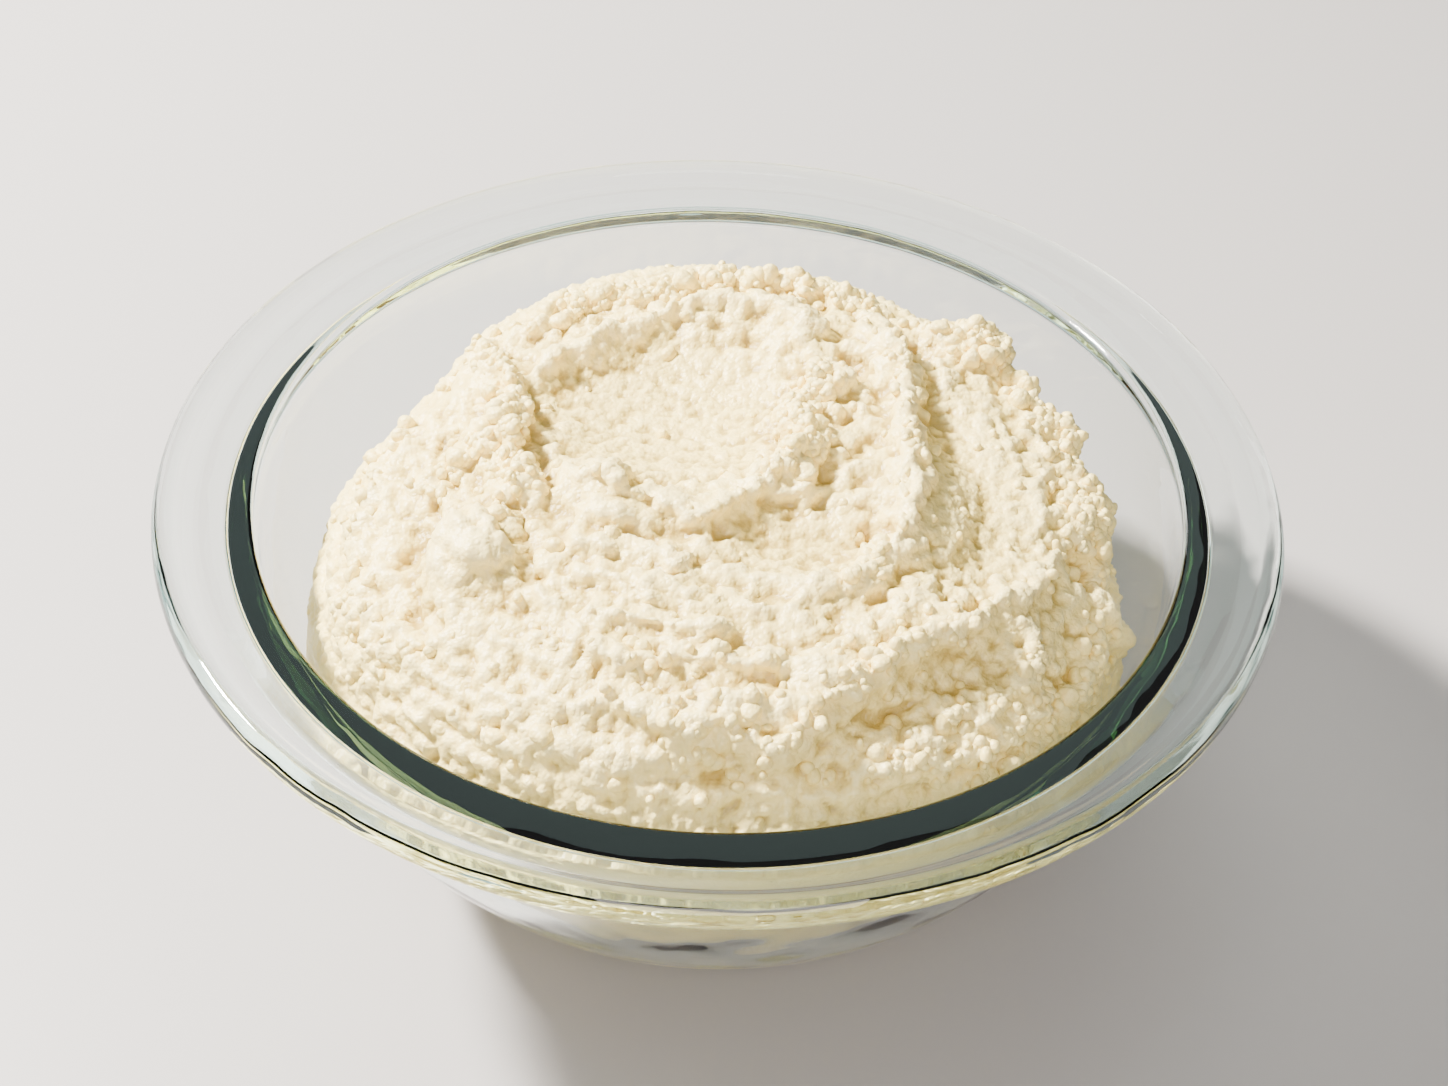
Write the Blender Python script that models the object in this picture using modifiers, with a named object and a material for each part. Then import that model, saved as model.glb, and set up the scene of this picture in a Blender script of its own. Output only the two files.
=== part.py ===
"""Ricotta heaped in a clear glass mixing bowl.

Metres, +Z up. The origin is the centre of the bowl's flat base, on the surface it stands on.
Two pieces: the bowl, turned from one profile, and the ricotta, one solid that fills the
bowl and stands above its rim, with the folds and ridges that a spoon leaves in it.
"""

import math

import bmesh
import bpy
import numpy as np

MM = 0.001

# ---- driving dimensions of the bowl
RIM_RADIUS = 125.0 * MM          # widest point of the rolled lip
RIM_HEIGHT = 94.0 * MM           # height of the lip's widest point above the table
WALL = 4.5 * MM                  # glass thickness of the wall
FLOOR = 6.0 * MM                 # glass thickness of the floor
OUTER_SPHERE = 108.5 * MM        # the wall's outer face is part of a sphere
SPHERE_CENTRE = 95.6 * MM        # height of that sphere's centre
COLLAR_RADIUS = 103.0 * MM       # inner face of the thick glass just under the rim
SHOULDER = 1.8 * MM              # rounding between the collar and the flange
FLANGE_HEIGHT = RIM_HEIGHT + 1.8 * MM
BEAD_RADIUS = 3.6 * MM           # rolled bead round the outer edge of the flange
BEAD_GROOVE = 1.2 * MM           # dip between the flange and the bead
LIP_THICKNESS = 6.5 * MM         # flange thickness behind the bead
FOOT_ROUNDING = 25.0 * MM        # arc between the wall and the flat base
BOWL_STEPS = 64                  # facets round the axis, of the bowl and the ricotta alike

# ---- driving dimensions of the ricotta
GAP = 0.4 * MM                   # clearance between the ricotta and the glass
FILL_BACK = 48.0 * MM            # height at which the heap leaves the glass, at the back
FILL_FRONT = 72.0 * MM           # and at the front, where it is pushed up the wall
HEAP_TOP = 110.5 * MM            # height of the heap's smooth top above the table
HEAP_FLATNESS = 5.0              # larger is flatter on top
HEAP_ROUNDNESS = 1.65            # larger is squarer at the sides
SOFTEN = 2.8 * MM                # strokes narrower than this are widened to it
CURD_ALLOWANCE = 1.3             # crests are raised by this for the curds that stand on them
HEAP_RINGS = 25                  # rings of the mesh above the contact line
FILL_RINGS = 9                   # rings below it

# Spoon strokes on the heap, in millimetres from the bowl's axis, +X right and +Y to the back:
# the points that the stroke runs through, its height (a hollow is negative), and its width
# on the left and on the right of its direction of travel.
STROKES = {
    "back_crest": ([(-50, 34), (-38, 42), (-25, 47), (-8, 51), (10, 54), (24, 51),
                    (36, 45)], 3.0, 5.0, 4.0),
    "basin_rim_back": ([(-44, 14), (-39, 19), (-32, 27), (-19, 36), (-6, 42), (6, 43), (14, 40),
                        (20, 31), (21, 25)], 5.0, 3.0, 3.8),
    "crumbly_column": ([(25, 25), (22, 15), (16, 5), (18, -4), (16, -12), (8, -18)], 6.0, 5.5, 4.0),
    "fold_lip": ([(-31, -19), (-22, -25), (-11, -28), (-4, -31), (4, -27), (8, -20),
                  (16, -15)], 4.5, 5.0, 3.2),
    "hooked_ridge": ([(30, 42), (36, 34), (40, 24), (42, 7), (41, -12), (40, -25), (36, -38),
                      (26, -47), (12, -51)], 5.0, 3.5, 5.0),
    "right_swipe": ([(45, 24), (52, 4), (59, -15), (57, -33), (45, -50)], -4.5, 8.0, 8.0),
    "right_crest": ([(40, 45), (50, 40), (60, 33), (68, 25), (75, 15), (79, 2), (80, -12),
                     (76, -27)], 5.0, 5.0, 5.0),
    "left_crest": ([(-56, 34), (-54, 26), (-47, 13), (-45, -2), (-44, -12), (-42, -22),
                    (-43, -35)], 5.0, 3.0, 6.0),
    "left_spur": ([(-46, -4), (-51, -9), (-58, -15), (-66, -21)], 3.0, 4.0, 4.0),
    "left_crevice": ([(-44, -20), (-41, -33), (-39, -41), (-37, -52)], -4.0, 2.2, 2.2),
    "left_slope_ridge": ([(-70, 14), (-73, -8), (-76, -26), (-74, -42), (-68, -54),
                          (-56, -68)], 3.0, 4.0, 5.0),
    "left_slope_hollow": ([(-60, 12), (-61, -18), (-64, -34), (-64, -46), (-57, -60)], -3.0, 4.0, 4.0),
    "great_fold": ([(-34, -72), (-13, -78), (-3, -83), (5, -81), (12, -85), (18, -79), (30, -70),
                    (39, -61), (49, -54), (60, -43), (70, -31)], 4.5, 7.0, 3.2),
    "under_fold": ([(-12, -88), (8, -92), (24, -86), (36, -76), (48, -66), (60, -54)], -1.5, 4.0, 4.0),
    "front_ripple_1": ([(-31, -39), (-20, -42), (-5, -46)], 3.0, 3.0, 2.2),
    "front_ripple_2": ([(-30, -48), (-17, -52), (0, -56)], 3.0, 3.0, 2.2),
    "front_ripple_3": ([(-28, -57), (-14, -61), (4, -62)], 3.0, 3.0, 2.2),
    "front_ripple_4": ([(-38, -61), (-18, -69), (-2, -70), (15, -66)], 2.6, 3.0, 2.2),
    "right_fold_1": ([(66, -46), (63, -59), (54, -70), (44, -78), (27, -87)], 3.5, 3.0, 4.0),
    "right_fold_2": ([(83, -31), (80, -42), (70, -60), (57, -74), (39, -85)], 3.5, 3.0, 4.0),
    "left_fold_1": ([(-60, -52), (-50, -64), (-38, -74), (-24, -82)], 1.8, 4.0, 3.0),
    "left_fold_2": ([(-66, -60), (-52, -74), (-34, -84), (-14, -90)], 1.5, 4.0, 3.0),
}

# Lumps and pits: centre, height (a pit is negative) and half-widths across X and Y.
MOUNDS = {
    "top_basin": ((-12, 9), -6.0, 30, 24),
    "second_basin": ((20, -35), -4.5, 17, 11),
    "peak": ((-27, -21), 5.5, 7, 7),
    "peak_shoulder": ((-22, -31), 3.0, 8, 5),
    "left_bulge": ((-50, -41), 7.0, 10, 9),
    "right_point": ((84, -28), 5.0, 6, 5),
    "right_clump": ((57, 35), 2.5, 8, 6),
    "clump_notch": ((68, 32), -4.0, 4, 4),
    "pit_by_column": ((30, 23), -4.5, 4, 5),
    "pit_in_hook": ((33, -30), -3.0, 4, 4),
    "pit_right_1": ((44, 33), -3.0, 4, 3),
    "right_notch": ((79, -24), -5.0, 4, 5),
    "left_back_dip": ((-76, 34), -4.0, 20, 22),
    "right_back_rise": ((66, 50), 1.0, 18, 16),
}


# ---------------------------------------------------------------- the bowl's outline

def smooth_min(a, b, blend):
    return -blend * np.logaddexp(-a / blend, -b / blend)


def smooth_max(a, b, blend):
    return blend * np.logaddexp(a / blend, b / blend)


def inner_face(angle, clearance=0.0):
    """Radius and height of the bowl's inner face at an angle up from straight down."""
    sphere = OUTER_SPHERE - WALL - clearance
    radius = smooth_min(sphere * np.sin(angle), COLLAR_RADIUS - clearance, 1.0 * MM)
    height = smooth_max(SPHERE_CENTRE - sphere * np.cos(angle), FLOOR + clearance, 3.0 * MM)
    return radius, height


def contact_ring(turn):
    """The angle, radius and height at which the heap leaves the glass, round the bowl."""
    forward = np.clip((0.15 - np.sin(turn)) / 1.15, 0.0, 1.0)
    fill = FILL_BACK + (FILL_FRONT - FILL_BACK) * forward ** 1.2
    angles = np.linspace(0.0, 0.5 * math.pi, 2000)
    radii, heights = inner_face(angles, GAP)
    return np.interp(fill, heights, angles), np.interp(fill, heights, radii), fill


def arc(centre, radius, start, end, count):
    """Points on a circle in the profile's plane, angles in degrees from +X."""
    angles = np.radians(np.linspace(start, end, count))
    return [(centre[0] + radius * math.cos(a), centre[1] + radius * math.sin(a)) for a in angles]


def bowl_profile():
    """Up the inner face, over the rim and down the outer face, from axis to axis."""
    inner = [inner_face(a) for a in np.radians(np.linspace(0.0, 90.0, 18))]
    points = [(0.0, float(inner[0][1]))]
    points += [(float(r), float(z)) for r, z in inner[1:] if z < FLANGE_HEIGHT - SHOULDER - 2.0 * MM]
    shoulder_centre = (COLLAR_RADIUS + SHOULDER, FLANGE_HEIGHT - SHOULDER)
    points += arc(shoulder_centre, SHOULDER, 180.0, 90.0, 4)
    bead_centre = RIM_RADIUS - BEAD_RADIUS
    groove = bead_centre - 1.3 * BEAD_RADIUS
    points.append((groove - 2.0 * MM, FLANGE_HEIGHT - 0.3 * MM))
    points.append((groove, FLANGE_HEIGHT - BEAD_GROOVE))
    points += arc((bead_centre, RIM_HEIGHT), BEAD_RADIUS, 90.0, -90.0, 5)
    underside = FLANGE_HEIGHT - LIP_THICKNESS
    points.append((bead_centre - 2.0 * MM, underside))
    fillet = 1.5 * MM
    wall_top = OUTER_SPHERE + fillet
    points += arc((wall_top, underside - fillet), fillet, 90.0, 180.0, 3)
    start = math.asin((SPHERE_CENTRE - (underside - 2.2 * fillet)) / OUTER_SPHERE)
    foot_reach = OUTER_SPHERE - FOOT_ROUNDING
    foot_drop = SPHERE_CENTRE - FOOT_ROUNDING
    end = math.asin(foot_drop / foot_reach)
    for a in np.linspace(start, end, 7):
        points.append((OUTER_SPHERE * math.cos(a), SPHERE_CENTRE - OUTER_SPHERE * math.sin(a)))
    foot_centre = (foot_reach * math.cos(end), FOOT_ROUNDING)
    points += arc(foot_centre, FOOT_ROUNDING, -math.degrees(end), -90.0, 4)[1:]
    points.append((0.0, 0.0))
    return points


# ---------------------------------------------------------------- the heap's form

def stroke_path(points, steps=10):
    """A smooth curve through a stroke's points, with its left-hand normals."""
    knots = np.array([points[0]] + list(points) + [points[-1]], dtype=float) * MM
    share = np.linspace(0.0, 1.0, steps, endpoint=False)[:, None]
    curve = []
    for a, b, c, d in zip(knots, knots[1:], knots[2:], knots[3:]):
        curve.append(0.5 * (2.0 * b + (c - a) * share + (2.0 * a - 5.0 * b + 4.0 * c - d) * share ** 2
                            + (3.0 * b - a - 3.0 * c + d) * share ** 3))
    curve = np.vstack(curve + [knots[-1:]])
    along = np.gradient(curve, axis=0)
    along /= np.linalg.norm(along, axis=1)[:, None]
    return curve, np.stack([-along[:, 1], along[:, 0]], axis=1)


def stroke_relief(x, y, points, height, left, right):
    """A ridge along a stroke, falling away differently on its two sides."""
    curve, normals = stroke_path(points)
    offset = np.stack([x, y], axis=1)[:, None, :] - curve[None, :, :]
    distance = np.linalg.norm(offset, axis=2)
    nearest = distance.argmin(axis=1)
    rows = np.arange(len(x))
    side = (offset[rows, nearest] * normals[nearest]).sum(axis=1)
    width = np.hypot(np.where(side > 0.0, left, right) * MM, SOFTEN)
    share = nearest / (len(curve) - 1.0)
    taper = np.clip(6.0 * np.minimum(share, 1.0 - share), 0.0, 1.0)
    return height * MM * taper * np.exp(-(distance[rows, nearest] / width) ** 2)


def heap_relief(x, y):
    """How far the spoon's strokes raise or lower the heap at a place on its plan."""
    total = np.zeros_like(x)
    for points, height, left, right in STROKES.values():
        total += stroke_relief(x, y, points, height, left, right)
    for (cx, cy), height, across, along in MOUNDS.values():
        wide = ((x - cx * MM) / (across * MM)) ** 2
        deep = ((y - cy * MM) / (along * MM)) ** 2
        total += height * MM * np.exp(-(wide + deep) ** 1.5)
    return np.where(total > 0.0, CURD_ALLOWANCE * total, total)


def heap_point(share, turn):
    """Points of the heap's surface: share is 0 on the axis and 1 at the glass."""
    _, edge_radius, edge_height = contact_ring(turn)
    top = HEAP_TOP - edge_height
    curve = np.clip(1.0 - share ** HEAP_FLATNESS, 1e-6, 1.0)
    rise = top * curve ** (1.0 / HEAP_ROUNDNESS)
    slope = (top / edge_radius / HEAP_ROUNDNESS * curve ** (1.0 / HEAP_ROUNDNESS - 1.0)
             * HEAP_FLATNESS * share ** (HEAP_FLATNESS - 1.0))
    radius = edge_radius * share
    x = radius * np.cos(turn)
    y = radius * np.sin(turn)
    fade = np.clip((1.0 - share) / 0.05, 0.0, 1.0)
    relief = heap_relief(x, y) * fade
    lean = slope / np.hypot(1.0, slope)
    reach = radius + relief * lean
    height = edge_height + rise + relief / np.hypot(1.0, slope)
    reach = np.minimum(reach, np.maximum(radius, COLLAR_RADIUS - 5.0 * MM))
    return reach * np.cos(turn), reach * np.sin(turn), height


# ---------------------------------------------------------------- building

def clear_scene():
    for obj in list(bpy.data.objects):
        bpy.data.objects.remove(obj)


def plain_material(name, colour, roughness, transmission=0.0):
    material = bpy.data.materials.new(name)
    material.use_nodes = True
    shader = material.node_tree.nodes["Principled BSDF"]
    shader.inputs["Base Color"].default_value = (*colour, 1.0)
    shader.inputs["Roughness"].default_value = roughness
    shader.inputs["Metallic"].default_value = 0.0
    shader.inputs["Transmission Weight"].default_value = transmission
    return material


def add_object(name, mesh, material, collection):
    mesh.materials.append(material)
    obj = bpy.data.objects.new(name, mesh)
    collection.objects.link(obj)
    return obj


def build_bowl(collection, material):
    """The bowl: one profile turned round the axis."""
    mesh = bpy.data.meshes.new("bowl")
    profile = bmesh.new()
    verts = [profile.verts.new((radius, 0.0, height)) for radius, height in bowl_profile()]
    for first, second in zip(verts, verts[1:]):
        profile.edges.new((first, second))
    profile.to_mesh(mesh)
    profile.free()
    bowl = add_object("bowl", mesh, material, collection)
    turn = bowl.modifiers.new("turn", 'SCREW')
    turn.axis = 'Z'
    turn.angle = 2.0 * math.pi
    turn.steps = BOWL_STEPS
    turn.render_steps = BOWL_STEPS
    turn.use_merge_vertices = True
    turn.merge_threshold = 0.00001
    turn.use_smooth_shade = True
    return bowl


def build_ricotta(collection, material):
    """The ricotta: a sphere's rings, laid over the heap and down the bowl's inner face."""
    rings = HEAP_RINGS + FILL_RINGS
    solid = bmesh.new()
    bmesh.ops.create_uvsphere(solid, u_segments=BOWL_STEPS, v_segments=rings, radius=1.0)
    sphere = np.array([vert.co[:] for vert in solid.verts])
    turn = np.arctan2(sphere[:, 1], sphere[:, 0])
    ring = np.rint(np.arccos(np.clip(sphere[:, 2], -1.0, 1.0)) / math.pi * rings)
    share = np.sin(0.5 * math.pi * np.clip(ring / HEAP_RINGS, 0.0, 1.0))
    x, y, z = heap_point(share, turn)

    below = ring > HEAP_RINGS
    depth = np.clip((rings - ring) / FILL_RINGS, 0.0, 1.0)
    radius, height = inner_face(contact_ring(turn)[0] * depth, GAP)
    x[below] = (radius * np.cos(turn))[below]
    y[below] = (radius * np.sin(turn))[below]
    z[below] = height[below]

    for vert, place in zip(solid.verts, np.stack([x, y, z], axis=1)):
        vert.co = place
    bmesh.ops.triangulate(solid, faces=solid.faces[:])
    mesh = bpy.data.meshes.new("ricotta")
    solid.to_mesh(mesh)
    solid.free()
    mesh.shade_smooth()
    return add_object("ricotta", mesh, material, collection)


def main():
    clear_scene()
    collection = bpy.data.collections.new("ricotta_bowl")
    bpy.context.scene.collection.children.link(collection)
    glass = plain_material("clear_glass", (0.86, 0.92, 0.90), 0.03, transmission=1.0)
    curd = plain_material("ricotta_curd", (0.93, 0.87, 0.74), 0.55)
    build_bowl(collection, glass)
    build_ricotta(collection, curd)


main()
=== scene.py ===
import math

import bmesh
import bpy
import numpy as np
from mathutils import Matrix, Vector, noise


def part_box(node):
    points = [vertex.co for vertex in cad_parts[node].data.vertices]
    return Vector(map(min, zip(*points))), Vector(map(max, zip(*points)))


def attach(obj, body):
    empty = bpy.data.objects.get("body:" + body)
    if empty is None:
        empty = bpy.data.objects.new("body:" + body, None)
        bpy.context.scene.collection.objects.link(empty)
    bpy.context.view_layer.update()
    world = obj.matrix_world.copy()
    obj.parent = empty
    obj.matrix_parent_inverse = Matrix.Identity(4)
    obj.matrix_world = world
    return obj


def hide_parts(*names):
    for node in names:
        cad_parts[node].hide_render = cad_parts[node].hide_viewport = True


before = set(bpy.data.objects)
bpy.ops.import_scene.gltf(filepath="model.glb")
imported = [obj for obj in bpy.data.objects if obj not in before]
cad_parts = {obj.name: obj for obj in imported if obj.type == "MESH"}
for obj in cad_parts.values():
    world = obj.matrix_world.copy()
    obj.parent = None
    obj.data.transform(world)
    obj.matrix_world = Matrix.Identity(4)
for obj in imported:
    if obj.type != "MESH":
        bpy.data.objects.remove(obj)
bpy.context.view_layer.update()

MM = 0.001
ROOT = "root"


# ================================================================ sizes

bowl_low, bowl_high = (Vector(corner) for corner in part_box("bowl"))
heap_low, heap_high = (Vector(corner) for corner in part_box("ricotta"))

RIM_RADIUS = 0.5 * (bowl_high.x - bowl_low.x)
BEAD_RADIUS = 3.6 * MM       # rolled bead round the outer edge of the flange
RIM_HEIGHT = bowl_high.z - BEAD_RADIUS       # the lip's widest point
WALL = 4.5 * MM
FLOOR = 6.0 * MM
OUTER_SPHERE = 108.5 * MM    # the wall's outer face is part of a sphere
SPHERE_CENTRE = 95.6 * MM    # height of that sphere's centre
COLLAR_RADIUS = 103.0 * MM   # inner face of the thick glass just under the rim
SHOULDER = 1.8 * MM          # rounding between the collar and the flange
FLANGE_HEIGHT = RIM_HEIGHT + 1.8 * MM
BEAD_GROOVE = 1.2 * MM       # dip between the flange and the bead
GROOVE_REACH = 1.3           # from the bead's centre to the groove, in bead radii
LIP_THICKNESS = 6.5 * MM
LIP_FILLET = 1.5 * MM        # between the flange's underside and the wall
FOOT_ROUNDING = 25.0 * MM
GLASS_STEPS = 240            # facets round the bowl

FILL_BACK = 48.0 * MM        # height at which the heap leaves the glass, at the back
FILL_FRONT = 72.0 * MM       # and at the front, where it is pushed up the wall
HEAP_TOP = 110.5 * MM        # height of the heap's smooth top above the table
HEAP_FLATNESS = 5.0          # larger is flatter on top
HEAP_ROUNDNESS = 1.65        # larger is squarer at the sides
SOFTEN = 0.8 * MM            # rounding of the strokes' crests
SINK = 0.35 * MM             # how far the ricotta reaches into the glass
EDGE_GAP = 0.15 * MM         # how far off the glass it stays near the heap's edge
PRESSED = 0.9                # the shade of curd pressed against the glass
FILL_RINGS = 12              # rings of the mesh from the floor to the heap's edge
CONTACT_RING = 8             # up to this ring the ricotta wets the glass
TOP_MARGIN = 0.1 * MM        # the curds' tops stay this far under the heap's highest point
HEAP_GRID = 290              # cells across the heap's fine mesh

# The curd's texture: size of its ripples, lumps, curds and grains.
RIPPLE_SIZE = 5.0 * MM
LUMP_SIZE = 6.5 * MM
CURD_SIZE = 3.2 * MM
GRAIN_SIZE = 1.9 * MM

# Spoon strokes on the heap, in millimetres from the bowl's axis, +X right and +Y to the back:
# the points that the stroke runs through, its height (a hollow is negative), its width on the
# left and on the right of its direction of travel, how far its crest leans over to the right,
# and how crumbly it is.
STROKES = {
    "back_crest": ([(-50, 34), (-38, 42), (-25, 47), (-8, 51), (10, 54), (24, 51), (36, 45)],
                   3.0, 5.0, 4.0, 0.0, 1.0),
    "basin_rim_back": ([(-44, 14), (-39, 19), (-32, 27), (-19, 36), (-6, 42), (6, 43), (14, 40),
                        (20, 31), (21, 25)],
                       5.0, 3.0, 3.8, 0.0, 0.25),
    "crumbly_column": ([(25, 25), (22, 15), (16, 5), (18, -4), (16, -12), (8, -18)], 6.0, 5.5, 4.0, 1.0, 1.0),
    "fold_lip": ([(-31, -19), (-22, -25), (-11, -28), (-4, -31), (4, -27), (8, -20), (16, -15)],
                 4.5, 5.0, 3.2, 1.0, 0.4),
    "hooked_ridge": ([(30, 42), (36, 34), (40, 24), (42, 7), (41, -12), (40, -25), (36, -38),
                      (26, -47), (12, -51)],
                     5.0, 3.5, 5.0, 0.0, 0.55),
    "right_swipe": ([(45, 24), (52, 4), (59, -15), (57, -33), (45, -50)], -4.5, 8.0, 8.0, 0.0, 0.0),
    "right_crest": ([(40, 45), (50, 40), (60, 33), (68, 25), (75, 15), (79, 2), (80, -12), (76, -27)],
                    5.0, 5.0, 5.0, 0.0, 1.0),
    "left_crest": ([(-56, 34), (-54, 26), (-47, 13), (-45, -2), (-44, -12), (-42, -22), (-43, -35)],
                   5.0, 3.0, 6.0, 0.0, 0.9),
    "left_spur": ([(-46, -4), (-51, -9), (-58, -15), (-66, -21)], 3.0, 4.0, 4.0, 0.0, 0.9),
    "left_crevice": ([(-44, -20), (-41, -33), (-39, -41), (-37, -52)], -4.0, 2.2, 2.2, 0.0, 0.3),
    "left_slope_ridge": ([(-70, 14), (-73, -8), (-76, -26), (-74, -42), (-68, -54), (-56, -68)],
                         3.0, 4.0, 5.0, 0.0, 0.5),
    "left_slope_hollow": ([(-60, 12), (-61, -18), (-64, -34), (-64, -46), (-57, -60)],
                          -3.0, 4.0, 4.0, 0.0, 0.2),
    "great_fold": ([(-34, -72), (-13, -78), (-3, -83), (5, -81), (12, -85), (18, -79), (30, -70),
                    (39, -61), (49, -54), (60, -43), (70, -31)], 4.5, 7.0, 3.2, 1.6, 0.6),
    "under_fold": ([(-12, -88), (8, -92), (24, -86), (36, -76), (48, -66), (60, -54)],
                   -1.5, 4.0, 4.0, 0.0, 0.3),
    "front_ripple_1": ([(-31, -39), (-20, -42), (-5, -46)], 3.0, 3.0, 2.2, 0.6, 0.3),
    "front_ripple_2": ([(-30, -48), (-17, -52), (0, -56)], 3.0, 3.0, 2.2, 0.6, 0.3),
    "front_ripple_3": ([(-28, -57), (-14, -61), (4, -62)], 3.0, 3.0, 2.2, 0.6, 0.3),
    "front_ripple_4": ([(-38, -61), (-18, -69), (-2, -70), (15, -66)], 2.6, 3.0, 2.2, 0.6, 0.5),
    "right_fold_1": ([(66, -46), (63, -59), (54, -70), (44, -78), (27, -87)], 3.5, 3.0, 4.0, 0.0, 0.6),
    "right_fold_2": ([(83, -31), (80, -42), (70, -60), (57, -74), (39, -85)], 3.5, 3.0, 4.0, 0.0, 0.6),
    "left_fold_1": ([(-60, -52), (-50, -64), (-38, -74), (-24, -82)], 1.8, 4.0, 3.0, 0.0, 0.3),
    "left_fold_2": ([(-66, -60), (-52, -74), (-34, -84), (-14, -90)], 1.5, 4.0, 3.0, 0.0, 0.3),
}

# Lumps and pits: centre, height (a pit is negative) and half-widths across X and Y.
MOUNDS = {
    "top_basin": ((-12, 9), -7.0, 29, 24),
    "second_basin": ((20, -35), -4.5, 17, 11),
    "peak": ((-27, -21), 5.5, 7, 7),
    "peak_shoulder": ((-22, -31), 3.0, 8, 5),
    "left_bulge": ((-50, -41), 7.0, 10, 9),
    "right_point": ((84, -28), 5.0, 6, 5),
    "right_clump": ((57, 35), 2.5, 8, 6),
    "clump_notch": ((68, 32), -4.0, 4, 4),
    "pit_by_column": ((30, 23), -4.5, 4, 5),
    "pit_in_hook": ((33, -30), -3.0, 4, 4),
    "pit_right_1": ((44, 33), -3.0, 4, 3),
    "right_notch": ((79, -24), -5.0, 4, 5),
    "left_back_dip": ((-76, 34), -4.0, 20, 22),
    "right_back_rise": ((66, 50), 1.0, 18, 16),
}

# Where the curd is dragged smooth by the spoon: centre and half-widths.
SMOOTH_PATCHES = {
    "top_basin": ((-12, 9), 28, 25),
    "second_basin": ((20, -36), 17, 11),
    "right_swipe": ((54, -10), 10, 34),
}


# ================================================================ camera, lights and floor

def build_camera():
    """A lens of about 60 mm, looking down into the bowl from the front."""
    distance = 4.297 * RIM_RADIUS
    height_angle = math.radians(41.26)
    pitch = math.radians(42.73)
    roll = math.radians(2.265)
    right = Vector((1.0, 0.0, 0.0))
    up = Vector((0.0, math.sin(pitch), math.cos(pitch)))
    back = Vector((0.0, -math.cos(pitch), math.sin(pitch)))
    camera_right = math.cos(roll) * right + math.sin(roll) * up
    camera_up = -math.sin(roll) * right + math.cos(roll) * up
    place = Vector((0.011 * RIM_RADIUS, -distance * math.cos(height_angle),
                    RIM_HEIGHT + distance * math.sin(height_angle)))
    data = bpy.data.cameras.new("camera")
    data.sensor_width = 36.0
    data.lens = 59.67
    data.clip_start = 0.01
    data.clip_end = 20.0
    camera = bpy.data.objects.new("camera", data)
    bpy.context.scene.collection.objects.link(camera)
    turn = Matrix((camera_right, camera_up, back)).transposed().to_4x4()
    camera.matrix_world = Matrix.Translation(place) @ turn
    bpy.context.scene.camera = camera


def aim(obj, place, target):
    """Moves a lamp to a place and turns it to a target."""
    direction = Vector(target) - Vector(place)
    obj.matrix_world = Matrix.Translation(place) @ direction.to_track_quat('-Z', 'Y').to_matrix().to_4x4()


def add_lamp(name, place, target, width, depth, power, colour):
    """A soft panel lamp at a place, shining at a target."""
    data = bpy.data.lights.new(name, 'AREA')
    data.shape = 'RECTANGLE'
    data.size = width
    data.size_y = depth
    data.energy = power
    data.color = colour
    lamp = bpy.data.objects.new(name, data)
    bpy.context.scene.collection.objects.link(lamp)
    aim(lamp, place, target)


def build_light():
    """Daylight from a window at the left, with a pale room in front and open sky at the back."""
    heap = (0.0, 0.0, RIM_HEIGHT)
    add_lamp("window", (-0.92, 0.42, 1.08), heap, 0.17, 0.17, 158.0, (1.0, 0.955, 0.89))
    add_lamp("room", (0.1, -1.25, 1.0), heap, 1.0, 1.0, 29.0, (1.0, 0.95, 0.90))
    add_lamp("doorway", (-1.3, 1.5, 0.45), heap, 0.9, 0.7, 10.0, (1.0, 0.98, 0.95))
    add_lamp("sky", (-0.2, 1.7, 1.6), heap, 1.6, 1.6, 9.0, (0.72, 1.0, 0.93))
    world = bpy.data.worlds.new("room")
    bpy.context.scene.world = world
    world.use_nodes = True
    nodes = world.node_tree.nodes
    links = world.node_tree.links
    background = nodes["Background"]
    direction = nodes.new('ShaderNodeTexCoord')
    split = nodes.new('ShaderNodeSeparateXYZ')
    links.new(direction.outputs["Generated"], split.inputs[0])
    height = nodes.new('ShaderNodeMapRange')
    height.inputs["From Min"].default_value = 0.0
    height.inputs["From Max"].default_value = 0.8
    links.new(split.outputs["Z"], height.inputs["Value"])
    shade = nodes.new('ShaderNodeValToRGB')
    shade.color_ramp.elements[0].color = (0.05, 0.05, 0.05, 1.0)
    shade.color_ramp.elements[1].color = (0.95, 0.95, 0.96, 1.0)
    links.new(height.outputs["Result"], shade.inputs["Fac"])
    links.new(shade.outputs["Color"], background.inputs["Color"])
    background.inputs["Strength"].default_value = 0.31


def build_floor():
    """A plain pale table top."""
    table = bmesh.new()
    bmesh.ops.create_grid(table, x_segments=1, y_segments=1, size=3.0)
    mesh = bpy.data.meshes.new("floor")
    table.to_mesh(mesh)
    table.free()
    floor = bpy.data.objects.new("floor", mesh)
    bpy.context.scene.collection.objects.link(floor)
    material = bpy.data.materials.new("pale_table")
    material.use_nodes = True
    shader = material.node_tree.nodes["Principled BSDF"]
    shader.inputs["Base Color"].default_value = (0.38, 0.36, 0.35, 1.0)
    shader.inputs["Roughness"].default_value = 0.45
    mesh.materials.append(material)


# ================================================================ materials

def new_material(name):
    """An empty material, its node tree and its Principled shader."""
    material = bpy.data.materials.new(name)
    material.use_nodes = True
    return material, material.node_tree, material.node_tree.nodes["Principled BSDF"]


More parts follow.
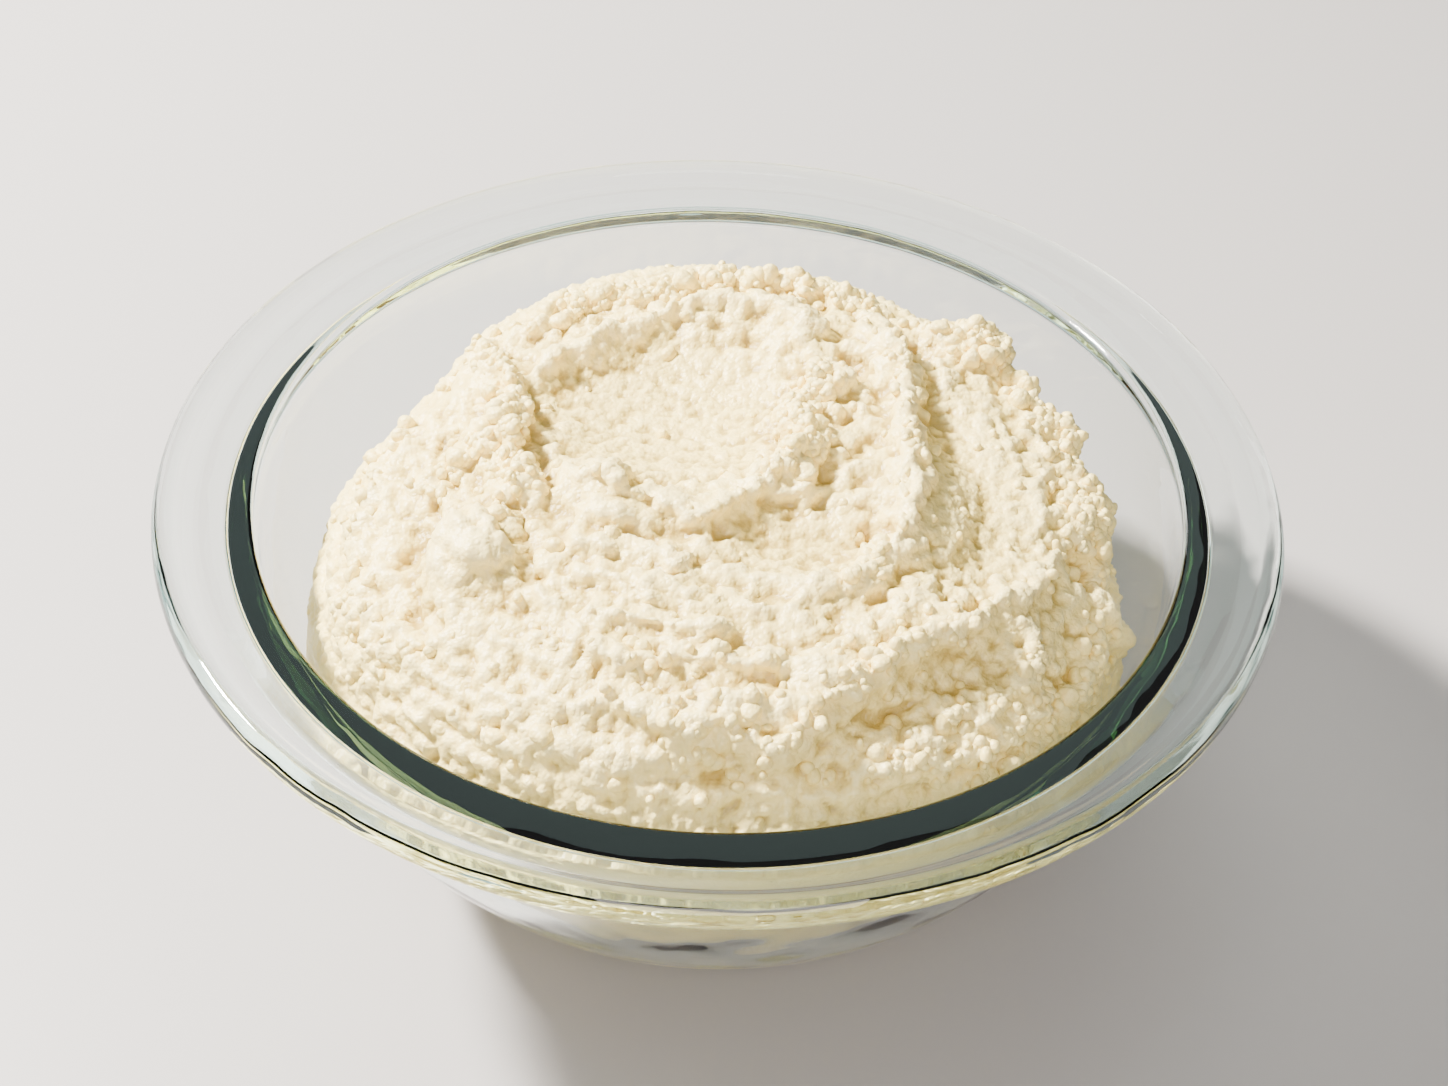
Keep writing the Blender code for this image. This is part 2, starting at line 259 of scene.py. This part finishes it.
def glass_material():
    """Clear soda-lime glass, green where the light has far to go in it, faintly wavy from its mould."""
    material, tree, shader = new_material("clear_glass")
    shader.inputs["Base Color"].default_value = (1.0, 1.0, 1.0, 1.0)
    shader.inputs["Roughness"].default_value = 0.0
    shader.inputs["IOR"].default_value = 1.5
    shader.inputs["Transmission Weight"].default_value = 1.0
    depth = tree.nodes.new('ShaderNodeVolumeAbsorption')
    depth.inputs["Color"].default_value = (0.05, 0.62, 0.50, 1.0)
    depth.inputs["Density"].default_value = 12.0
    tree.links.new(depth.outputs["Volume"], tree.nodes["Material Output"].inputs["Volume"])
    place = tree.nodes.new('ShaderNodeTexCoord')
    waves = tree.nodes.new('ShaderNodeTexNoise')
    waves.inputs["Scale"].default_value = 55.0
    waves.inputs["Detail"].default_value = 1.0
    tree.links.new(place.outputs["Object"], waves.inputs["Vector"])
    bump = tree.nodes.new('ShaderNodeBump')
    bump.inputs["Strength"].default_value = 0.35
    bump.inputs["Distance"].default_value = 0.0012
    tree.links.new(waves.outputs["Fac"], bump.inputs["Height"])
    tree.links.new(bump.outputs["Normal"], shader.inputs["Normal"])
    return material


def curd_material():
    """Moist creamy curd with painted shade: a darker buff in the hollows where shade falls, nearly white on
    the lit crests.
    """
    material, tree, shader = new_material("ricotta_curd")
    nodes = tree.nodes
    links = tree.links
    hollow = nodes.new('ShaderNodeAttribute')
    hollow.attribute_name = "hollow"
    # Painted shade: the ramp darkens the curd's cream to a deep buff in the hollows and lightens it to near
    # white on the crests.
    painted_shade_ramp = nodes.new('ShaderNodeValToRGB')
    painted_shade_ramp.color_ramp.elements[0].position = 0.0
    painted_shade_ramp.color_ramp.elements[0].color = (0.50, 0.35, 0.08, 1.0)
    painted_shade_ramp.color_ramp.elements[1].position = 0.85
    painted_shade_ramp.color_ramp.elements[1].color = (0.97, 0.77, 0.29, 1.0)
    pressed = painted_shade_ramp.color_ramp.elements.new(1.0)
    pressed.color = (0.97, 0.785, 0.33, 1.0)
    middle = painted_shade_ramp.color_ramp.elements.new(0.42)
    middle.color = (0.88, 0.70, 0.235, 1.0)
    links.new(hollow.outputs["Fac"], painted_shade_ramp.inputs["Fac"])
    links.new(painted_shade_ramp.outputs["Color"], shader.inputs["Base Color"])
    place = nodes.new('ShaderNodeTexCoord')
    grain = nodes.new('ShaderNodeTexNoise')
    grain.inputs["Scale"].default_value = 1400.0
    grain.inputs["Detail"].default_value = 3.0
    links.new(place.outputs["Object"], grain.inputs["Vector"])
    pebbles = nodes.new('ShaderNodeTexVoronoi')
    pebbles.feature = 'SMOOTH_F1'
    pebbles.inputs["Scale"].default_value = 850.0
    pebbles.inputs["Smoothness"].default_value = 0.25
    links.new(place.outputs["Object"], pebbles.inputs["Vector"])
    texture = nodes.new('ShaderNodeMath')
    texture.operation = 'MULTIPLY_ADD'
    texture.inputs[1].default_value = -1.3
    links.new(pebbles.outputs["Distance"], texture.inputs[0])
    links.new(grain.outputs["Fac"], texture.inputs[2])
    bump = nodes.new('ShaderNodeBump')
    bump.inputs["Strength"].default_value = 0.5
    bump.inputs["Distance"].default_value = 0.0004
    links.new(texture.outputs["Value"], bump.inputs["Height"])
    links.new(bump.outputs["Normal"], shader.inputs["Normal"])
    shader.inputs["Roughness"].default_value = 0.40
    shader.inputs["Subsurface Weight"].default_value = 0.22
    shader.inputs["Subsurface Radius"].default_value = (1.0, 0.9, 0.7)
    shader.inputs["Subsurface Scale"].default_value = 0.001
    return material


# ================================================================ the bowl

def smooth_min(a, b, blend):
    """The smaller of two values, rounded over where they cross."""
    return -blend * np.logaddexp(-a / blend, -b / blend)


def smooth_max(a, b, blend):
    """The larger of two values, rounded over where they cross."""
    return blend * np.logaddexp(a / blend, b / blend)


def inner_face(angle, clearance=0.0):
    """Radius and height of the bowl's inner face at an angle up from straight down."""
    sphere = OUTER_SPHERE - WALL - clearance
    radius = smooth_min(sphere * np.sin(angle), COLLAR_RADIUS - clearance, 1.0 * MM)
    height = smooth_max(SPHERE_CENTRE - sphere * np.cos(angle), FLOOR + clearance, 3.0 * MM)
    return radius, height


def arc(centre, radius, start, end, count):
    """Points on a circle in the profile's plane, angles in degrees from +X."""
    angles = np.radians(np.linspace(start, end, count))
    return [(centre[0] + radius * math.cos(a), centre[1] + radius * math.sin(a)) for a in angles]


def bowl_profile():
    """Up the inner face, over the rim and down the outer face, from axis to axis."""
    inner = [inner_face(a) for a in np.radians(np.linspace(0.0, 90.0, 46))]
    points = [(0.0, float(inner[0][1]))]
    points += [(float(r), float(z)) for r, z in inner[1:] if z < FLANGE_HEIGHT - SHOULDER - 1.0 * MM]
    shoulder_centre = (COLLAR_RADIUS + SHOULDER, FLANGE_HEIGHT - SHOULDER)
    points += arc(shoulder_centre, SHOULDER, 180.0, 90.0, 10)
    bead_centre = RIM_RADIUS - BEAD_RADIUS
    groove = bead_centre - GROOVE_REACH * BEAD_RADIUS
    for share in (0.35, 0.7, 1.0):
        radius = (1.0 - share) * (shoulder_centre[0] + 4.0 * MM) + share * groove
        points.append((radius, FLANGE_HEIGHT - BEAD_GROOVE * share ** 2))
    points += arc((bead_centre, RIM_HEIGHT), BEAD_RADIUS, 120.0, -90.0, 15)
    underside = FLANGE_HEIGHT - LIP_THICKNESS
    points.append((bead_centre - 2.0 * MM, underside))
    wall_top = OUTER_SPHERE + LIP_FILLET
    points += arc((wall_top, underside - LIP_FILLET), LIP_FILLET, 90.0, 180.0, 8)
    start = math.asin((SPHERE_CENTRE - (underside - 1.6 * LIP_FILLET)) / OUTER_SPHERE)
    foot_reach = OUTER_SPHERE - FOOT_ROUNDING
    foot_drop = SPHERE_CENTRE - FOOT_ROUNDING
    end = math.asin(foot_drop / foot_reach)
    for a in np.linspace(start, end, 30):
        points.append((OUTER_SPHERE * math.cos(a), SPHERE_CENTRE - OUTER_SPHERE * math.sin(a)))
    foot_centre = (foot_reach * math.cos(end), FOOT_ROUNDING)
    points += arc(foot_centre, FOOT_ROUNDING, -math.degrees(end), -90.0, 8)[1:]
    points.append((0.0, 0.0))
    return points


def add_piece(name, bm, material, slot, *nodes):
    """A finished bmesh as a piece of the object: shaded smooth, riding on the root body."""
    mesh = bpy.data.meshes.new(name)
    bm.to_mesh(mesh)
    bm.free()
    mesh.shade_smooth()
    mesh.materials.append(material)
    piece = bpy.data.objects.new(name, mesh)
    bpy.context.scene.collection.objects.link(piece)
    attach(piece, ROOT)
    if nodes:
        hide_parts(*nodes)


def build_glass(material):
    """The bowl turned smooth from its profile."""
    glass = bmesh.new()
    verts = [glass.verts.new((radius, 0.0, height)) for radius, height in bowl_profile()]
    for first, second in zip(verts, verts[1:]):
        glass.edges.new((first, second))
    bmesh.ops.spin(glass, geom=glass.verts[:] + glass.edges[:], cent=(0.0, 0.0, 0.0), axis=(0.0, 0.0, 1.0),
                   angle=2.0 * math.pi, steps=GLASS_STEPS, use_merge=True, use_duplicate=False)
    bmesh.ops.remove_doubles(glass, verts=glass.verts[:], dist=0.00001)
    bmesh.ops.recalc_face_normals(glass, faces=glass.faces[:])
    add_piece("glass_bowl", glass, material, "clear_glass", "bowl")


# ================================================================ the heap's form

def stroke_path(points, steps=10):
    """A smooth curve through a stroke's points, with its left-hand normals."""
    knots = np.array([points[0]] + list(points) + [points[-1]], dtype=float) * MM
    share = np.linspace(0.0, 1.0, steps, endpoint=False)[:, None]
    curve = []
    for a, b, c, d in zip(knots, knots[1:], knots[2:], knots[3:]):
        curve.append(0.5 * (2.0 * b + (c - a) * share + (2.0 * a - 5.0 * b + 4.0 * c - d) * share ** 2
                            + (3.0 * b - a - 3.0 * c + d) * share ** 3))
    curve = np.vstack(curve + [knots[-1:]])
    along = np.gradient(curve, axis=0)
    along /= np.linalg.norm(along, axis=1)[:, None]
    return curve, np.stack([-along[:, 1], along[:, 0]], axis=1)


def stroke_shape(x, y, points, left, right):
    """How strongly a stroke acts at each place, 0 to 1, and the direction to its right."""
    curve, normals = stroke_path(points)
    offset = np.stack([x, y], axis=1)[:, None, :] - curve[None, :, :]
    distance = np.linalg.norm(offset, axis=2)
    nearest = distance.argmin(axis=1)
    rows = np.arange(len(x))
    side = (offset[rows, nearest] * normals[nearest]).sum(axis=1)
    width = np.where(side > 0.0, left, right) * MM
    share = nearest / (len(curve) - 1.0)
    taper = np.clip(6.0 * np.minimum(share, 1.0 - share), 0.0, 1.0)
    return taper * np.exp(-(np.hypot(distance[rows, nearest], SOFTEN) / width) ** 2), -normals[nearest]


def mound_shape(x, y, centre, across, along):
    """How strongly a lump or pit acts at each place, 0 to 1."""
    wide = ((x - centre[0] * MM) / (across * MM)) ** 2
    deep = ((y - centre[1] * MM) / (along * MM)) ** 2
    return np.exp(-(wide + deep) ** 1.5)


def heap_relief(x, y):
    """What the spoon did at each place on the heap's plan: rise, lean across the plan, crumbliness."""
    rise = np.zeros_like(x)
    crumble = np.zeros_like(x)
    lean = np.zeros((len(x), 2))
    for points, height, left, right, over, crumbs in STROKES.values():
        shape, to_right = stroke_shape(x, y, points, left, right)
        rise += height * MM * shape
        lean += (over * MM * shape ** 2)[:, None] * to_right
        crumble = np.maximum(crumble, crumbs * np.sqrt(shape))
    for centre, height, across, along in MOUNDS.values():
        rise += height * MM * mound_shape(x, y, centre, across, along)
    return rise, lean, crumble


def contact_ring(turn):
    """The angle, radius and height at which the heap leaves the glass, round the bowl."""
    forward = np.clip((0.15 - np.sin(turn)) / 1.15, 0.0, 1.0)
    fill = FILL_BACK + (FILL_FRONT - FILL_BACK) * forward ** 1.2
    angles = np.linspace(0.0, 0.5 * math.pi, 2000)
    radii, heights = inner_face(angles, EDGE_GAP)
    return np.interp(fill, heights, angles), np.interp(fill, heights, radii), fill


def heap_surface(share, turn):
    """Places on the heap, how far the heap is from the glass (0 to 1) and how crumbly it is."""
    _, edge_radius, edge_height = contact_ring(turn)
    top = HEAP_TOP - edge_height
    curve = np.clip(1.0 - share ** HEAP_FLATNESS, 1e-6, 1.0)
    rise = top * curve ** (1.0 / HEAP_ROUNDNESS)
    slope = (top / edge_radius / HEAP_ROUNDNESS * curve ** (1.0 / HEAP_ROUNDNESS - 1.0)
             * HEAP_FLATNESS * share ** (HEAP_FLATNESS - 1.0))
    radius = edge_radius * share
    flat = np.stack([radius * np.cos(turn), radius * np.sin(turn)], axis=1)
    steep = np.hypot(1.0, slope)
    fade = np.clip((1.0 - share) / 0.04, 0.0, 1.0)
    place = np.column_stack([flat, edge_height + rise])
    wander = np.column_stack([fractal(place, 17.0 * MM, 4), fractal(place, 17.0 * MM, 5)]) * 1.5 * MM
    wander += np.column_stack([fractal(place, 6.0 * MM, 6), fractal(place, 6.0 * MM, 7)]) * 0.8 * MM
    relief, lean, crumble = heap_relief(flat[:, 0] + wander[:, 0], flat[:, 1] + wander[:, 1])
    outward = np.stack([np.cos(turn) * slope / steep, np.sin(turn) * slope / steep, 1.0 / steep], axis=1)
    place += outward * (relief * fade)[:, None]
    place[:, :2] += lean * fade[:, None]
    return place, fade, crumble


def even_share(reach):
    """Spreads rings evenly along the heap's slope, so the steep sides get as many as the top."""
    share = np.linspace(0.0, 1.0, 1500)
    rise = 0.42 * (1.0 - share ** HEAP_FLATNESS) ** (1.0 / HEAP_ROUNDNESS)
    length = np.concatenate([[0.0], np.cumsum(np.hypot(np.diff(share), np.diff(rise)))])
    return np.interp(reach, length / length[-1], share)


def inside_glass(places):
    """Places with any that reach the glass held just off its inner face."""
    radii, heights = inner_face(np.linspace(0.0, 0.5 * math.pi, 500), EDGE_GAP)
    limit = np.interp(places[:, 2], heights, radii)
    radius = np.hypot(places[:, 0], places[:, 1])
    held = np.where(radius > limit - 2.0 * MM, smooth_min(radius, limit, 0.2 * MM), radius)
    scale = held / np.maximum(radius, 1e-6)
    return places * np.column_stack([scale, scale, np.ones_like(scale)])


def disc_plan(grid):
    """Squares of a grid from -1 to 1 laid over a disc: share of the radius, and turn."""
    u, v = grid[:, 0], grid[:, 1]
    x = u * np.sqrt(1.0 - 0.5 * v * v)
    y = v * np.sqrt(1.0 - 0.5 * u * u)
    return np.hypot(x, y), np.arctan2(y, x)


def mesh_normals(bm):
    """The normal at each vertex, as rows."""
    bm.normal_update()
    return np.array([vert.normal[:] for vert in bm.verts])


def set_places(bm, places):
    """Moves each vertex to its row's place."""
    for vert, place in zip(bm.verts, places):
        vert.co = place


def curd_cells(places, size, seed):
    """Rounded bumps like packed grains of a size: 1 on a grain's top, 0 in the seams."""
    shift = Vector((seed * 3.1, seed * 1.7, seed * 2.3))
    nearest = np.array([noise.voronoi(Vector(place) / size + shift)[0][0] for place in places])
    return np.clip(1.0 - 1.5 * nearest ** 2, 0.0, 1.0)


def fractal(places, size, seed, octaves=2):
    """Smooth noise of about -1 to 1 with features of a size."""
    shift = Vector((seed * 5.3, seed * 2.9, seed * 7.1))
    return np.array([noise.fractal(Vector(place) / size + shift, 1.0, 2.0, octaves) for place in places])


def drawn_out(places, length):
    """Places with distances round the bowl's axis shortened, so grain comes out long that way."""
    radius = np.hypot(places[:, 0], places[:, 1])
    turn = np.arctan2(places[:, 1], places[:, 0])
    return np.column_stack([radius, turn * 60.0 * MM / length, places[:, 2]])


def smoothness(x, y):
    """1 where the spoon dragged the curd smooth, 0 where it is crumbly."""
    total = np.zeros_like(x)
    for (cx, cy), across, along in SMOOTH_PATCHES.values():
        inside = ((x - cx * MM) / (across * MM)) ** 2 + ((y - cy * MM) / (along * MM)) ** 2
        total = np.maximum(total, np.clip(2.2 - 1.8 * inside, 0.0, 1.0))
    return total


def build_heap(material):
    """The ricotta: the heap's fine surface, and the fill down to the bowl's floor.

    Returns the surface that loose curds sit on: places, normals, crumbliness and painted shade."""
    heap = bmesh.new()
    bmesh.ops.create_grid(heap, x_segments=HEAP_GRID, y_segments=HEAP_GRID, size=1.0)
    grid = np.array([vert.co[:2] for vert in heap.verts])
    reach, turn = disc_plan(grid)
    places, fade, crumble = heap_surface(even_share(reach), turn)
    set_places(heap, places)

    normals = mesh_normals(heap)
    drag = smoothness(places[:, 0], places[:, 1]) * (1.0 - crumble)
    ripple = fractal(drawn_out(places, 3.0), RIPPLE_SIZE, 1)
    lumps = curd_cells(places, LUMP_SIZE, 2)
    curds = curd_cells(places, CURD_SIZE, 3)
    grains = curd_cells(places, GRAIN_SIZE, 8)
    # heights in millimetres
    relief = 2.0 * ripple * (1.0 - 0.75 * drag) + 3.2 * crumble * (lumps - 0.6)
    relief += (1.4 + 0.7 * crumble) * (1.0 - 0.75 * drag) * (curds - 0.5)
    relief += (0.8 + 0.2 * crumble) * (grains - 0.5)
    places = places + normals * (relief * fade * MM)[:, None]
    places = inside_glass(places)
    places[:, 2] = smooth_min(places[:, 2], heap_high.z - TOP_MARGIN, 0.4 * MM)
    set_places(heap, places)

    # Painted shade per vertex: low in the hollows and in the seams between grains, high on the crests.
    layer = heap.verts.layers.float.new("hollow")
    painted_seam_shade = 0.5 * (curds + grains) - 0.45
    depth = np.clip(hollow_shade(heap, places) + 0.5 * painted_seam_shade, 0.0, 1.0)
    depth = fade * depth + (1.0 - fade) * PRESSED
    for vert, value in zip(heap.verts, depth):
        vert[layer] = value

    normals = mesh_normals(heap)
    add_fill(heap)
    add_piece("ricotta_heap", heap, material, "ricotta_curd", "ricotta")
    return places, normals, crumble * fade, depth


def loose_curds(name, material, count, detail, sizes, seed, surface):
    """Curds of one size sitting half sunk in the heap, thickest where it is crumbly."""
    places, normals, crumble, depth = surface
    chance = np.random.default_rng(seed)
    likely = crumble ** 3 + 0.004
    chosen = chance.choice(len(places), size=count, replace=False, p=likely / likely.sum())
    template = bmesh.new()
    bmesh.ops.create_icosphere(template, subdivisions=detail, radius=1.0)
    ball = np.array([vert.co[:] for vert in template.verts])
    mesh = bpy.data.meshes.new(name + "_template")
    template.to_mesh(mesh)
    template.free()
    curds = bmesh.new()
    for _ in chosen:
        curds.from_mesh(mesh)
    bpy.data.meshes.remove(mesh)
    points = []
    painted_curd_shades = []
    for index in chosen:
        size = chance.uniform(*sizes) * MM
        wobble = chance.normal(0.0, 1.1, (3, 3))
        stretch = chance.uniform(0.75, 1.2, 3)
        dents = 1.0 + 0.07 * np.sin(2.0 * ball @ wobble).sum(axis=1)
        shape = ball * stretch * dents[:, None]
        offset = shape * size + normals[index] * size * chance.uniform(-0.75, 0.0)
        points.append(places[index] + offset)
        # Painted shade: each curd is lighter towards its top, darker where it sinks into the heap, and takes
        # the heap's painted shade beneath it.
        painted_curd_shades.append(0.2 + 0.25 * (offset @ normals[index]) / size + 0.5 * depth[index])
    points = inside_glass(np.vstack(points))
    points[:, 2] = np.minimum(points[:, 2], heap_high.z - TOP_MARGIN)
    set_places(curds, points)
    layer = curds.verts.layers.float.new("hollow")
    for vert, shade in zip(curds.verts, np.clip(np.concatenate(painted_curd_shades), 0.0, 1.0)):
        vert[layer] = shade
    add_piece(name, curds, material, "ricotta_curd")


def hollow_shade(heap, places):
    """Painted shade: 0 in the deepest hollows and 1 on the crests, from how the surface stands to its
    surroundings.
    """
    height = places.reshape(HEAP_GRID + 1, HEAP_GRID + 1, 3)[:, :, 2]
    around = height.copy()
    total = np.zeros_like(height)
    for reach, weight in ((2, 0.4), (5, 0.35), (11, 0.25)):
        around = box_blur(height, reach)
        total += weight * (height - around) / (0.11 * reach * MM + 0.25 * MM)
    return np.clip(0.5 + 0.5 * total, 0.0, 1.0).ravel()


def box_blur(field, reach):
    """Mean over a square of cells, twice for a rounder spread."""
    for _ in range(2):
        padded = np.pad(field, reach + 1, mode="edge").cumsum(axis=0).cumsum(axis=1)
        wide = 2 * reach + 1
        field = (padded[wide:-1, wide:-1] - padded[:-wide - 1, wide:-1]
                 - padded[wide:-1, :-wide - 1] + padded[:-wide - 1, :-wide - 1]) / wide ** 2
    return field


def add_fill(heap):
    """Carries the heap's edge down the inside of the glass to the floor, in rings."""
    edges = [edge for edge in heap.edges if edge.is_boundary]
    layer = heap.verts.layers.float["hollow"]
    for ring in range(FILL_RINGS - 1, 0, -1):
        grown = bmesh.ops.extrude_edge_only(heap, edges=edges)["geom"]
        verts = [item for item in grown if isinstance(item, bmesh.types.BMVert)]
        edges = [item for item in grown if isinstance(item, bmesh.types.BMEdge)]
        turn = np.array([math.atan2(vert.co.y, vert.co.x) for vert in verts])
        angle = contact_ring(turn)[0] * ring / FILL_RINGS
        radius, height = inner_face(angle, -SINK if ring <= CONTACT_RING else EDGE_GAP)
        places = np.column_stack([radius * np.cos(turn), radius * np.sin(turn), height])
        for vert, place, mottle in zip(verts, places, fractal(places, 9.0 * MM, 6)):
            vert.co = place
            vert[layer] = PRESSED + 0.2 * mottle
    bottom = bmesh.ops.contextual_create(heap, geom=edges)["faces"]
    bmesh.ops.poke(heap, faces=bottom)
    bmesh.ops.recalc_face_normals(heap, faces=heap.faces[:])


# ================================================================ the scene

build_camera()
build_light()
build_floor()
build_glass(glass_material())
curd = curd_material()
surface = build_heap(curd)
loose_curds("curd_lumps", curd, 380, 3, (1.4, 2.4), 11, surface)
loose_curds("curd_grains", curd, 1900, 2, (0.9, 1.5), 12, surface)
